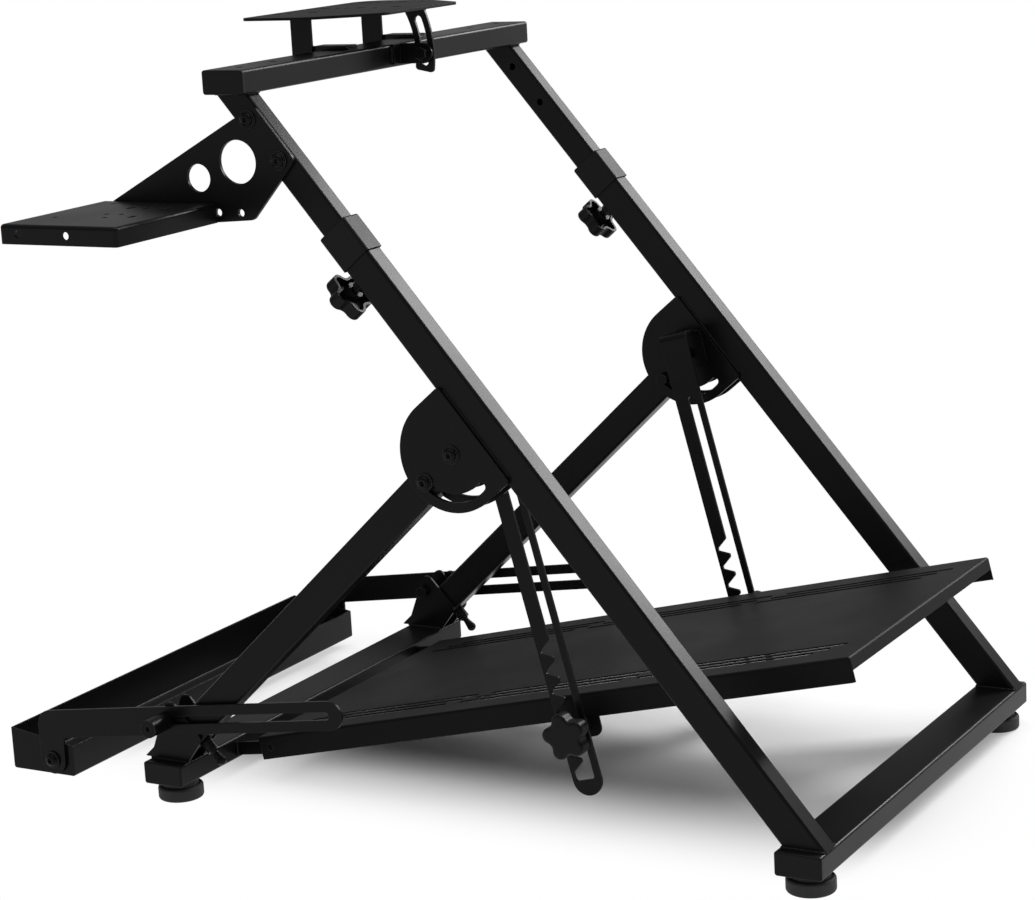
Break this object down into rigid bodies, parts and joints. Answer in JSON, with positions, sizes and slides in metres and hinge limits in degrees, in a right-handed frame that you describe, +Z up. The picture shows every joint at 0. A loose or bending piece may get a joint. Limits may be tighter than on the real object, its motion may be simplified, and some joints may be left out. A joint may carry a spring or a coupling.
{
  "type": "folding racing wheel stand",
  "caption": "Black folding steel stand for a racing wheel, pedals and a shifter, with leaning uprights, slotted pedal deck and chair stop",
  "frame": {"origin": "on the floor, on the middle plane, halfway between the front and the rear feet", "axes": "+X forward, away from the driver; +Y to the driver's left; +Z up"},
  "size_m": [0.9949, 0.7756, 0.837],
  "materials": {
    "coated_steel": "satin",
    "black_plastic": "matte",
    "foot_rubber": "matte",
    "black_hardware": "satin"
  },
  "bodies": {
    "base_frame": {"front_bar": "coated_steel", "front_bar_caps": "black_plastic", "front_feet": "foot_rubber", "upright_left": "coated_steel", "upright_right": "coated_steel", "collars": "black_plastic", "knob_nuts": "black_hardware", "height_knobs": "black_plastic", "pivot_plates_left": "coated_steel", "pivot_plates_right": "coated_steel", "pivot_bolts": "black_hardware"},
    "leg_frame": {"rear_bar": "coated_steel", "rear_bar_caps": "black_plastic", "rear_feet": "foot_rubber", "leg_left": "coated_steel", "leg_right": "coated_steel", "lock_bolts": "black_hardware", "leg_brackets": "coated_steel", "pull_pins": "black_hardware", "deck_ears": "coated_steel", "deck_pins": "black_hardware"},
    "head": {"top_bar": "coated_steel", "top_bar_caps": "black_plastic", "inner_tube_left": "coated_steel", "inner_tube_right": "coated_steel", "shifter_arm": "coated_steel", "shifter_tray": "coated_steel", "shifter_bolts": "black_hardware", "deck_posts": "coated_steel", "tilt_bracket": "coated_steel", "tilt_bolt": "black_hardware"},
    "wheel_deck_body": {"wheel_deck": "coated_steel", "deck_lugs": "coated_steel", "hinge_bolts": "black_hardware", "tilt_plate": "coated_steel"},
    "pedal_deck_body": {"pedal_deck": "coated_steel", "pedal_knobs": "black_plastic"},
    "hangers": {"hanger_left": "coated_steel", "hanger_right": "coated_steel"},
    "arm_pivots": {"arm_bolts": "black_hardware"},
    "stop_arms": {"stop_arm_left": "coated_steel", "stop_arm_right": "coated_steel"},
    "chair_stop": {"stop_channel": "coated_steel", "stop_bolts": "black_hardware"}
  },
  "joints": [
    {"name": "leg_fold", "type": "hinge", "parent": "base_frame", "child": "leg_frame", "pos_m": [0.00944, 0, 0.41488], "axis": [0, -1, 0], "range_deg": [0, 80]},
    {"name": "head_slide", "type": "slide", "parent": "base_frame", "child": "head", "axis": [0.6414, 0, -0.7672], "range_m": [-0.1, 0.07]},
    {"name": "wheel_tilt", "type": "hinge", "parent": "head", "child": "wheel_deck_body", "pos_m": [-0.28, 0, 0.78697], "axis": [0, 1, 0], "range_deg": [-4.5, 19]},
    {"name": "pedal_tilt", "type": "hinge", "parent": "leg_frame", "child": "pedal_deck_body", "pos_m": [-0.30243, 0, 0.04177], "axis": [0, -1, 0], "range_deg": [-3, 8]},
    {"name": "hanger_swing", "type": "hinge", "parent": "leg_frame", "child": "hangers", "pos_m": [0.00944, 0, 0.41488], "axis": [0, -1, 0], "range_deg": [-0.15, 0.3]},
    {"name": "arm_swing", "type": "hinge", "parent": "leg_frame", "child": "arm_pivots", "pos_m": [-0.37348, 0, 0.0933], "axis": [0, -1, 0], "range_deg": [-25, 2.5]},
    {"name": "arm_slide", "type": "slide", "parent": "arm_pivots", "child": "stop_arms", "axis": [0.9903, 0, 0.1392], "range_m": [-0.2, 0]},
    {"name": "stop_tilt", "type": "hinge", "parent": "stop_arms", "child": "chair_stop", "pos_m": [-0.5349, 0, 0.0295], "axis": [0, -1, 0], "range_deg": [-12, 12]}
  ],
  "couplings": [
    {"joint": "hanger_swing", "follows": "pedal_tilt", "ratio": 0.03}
  ]
}
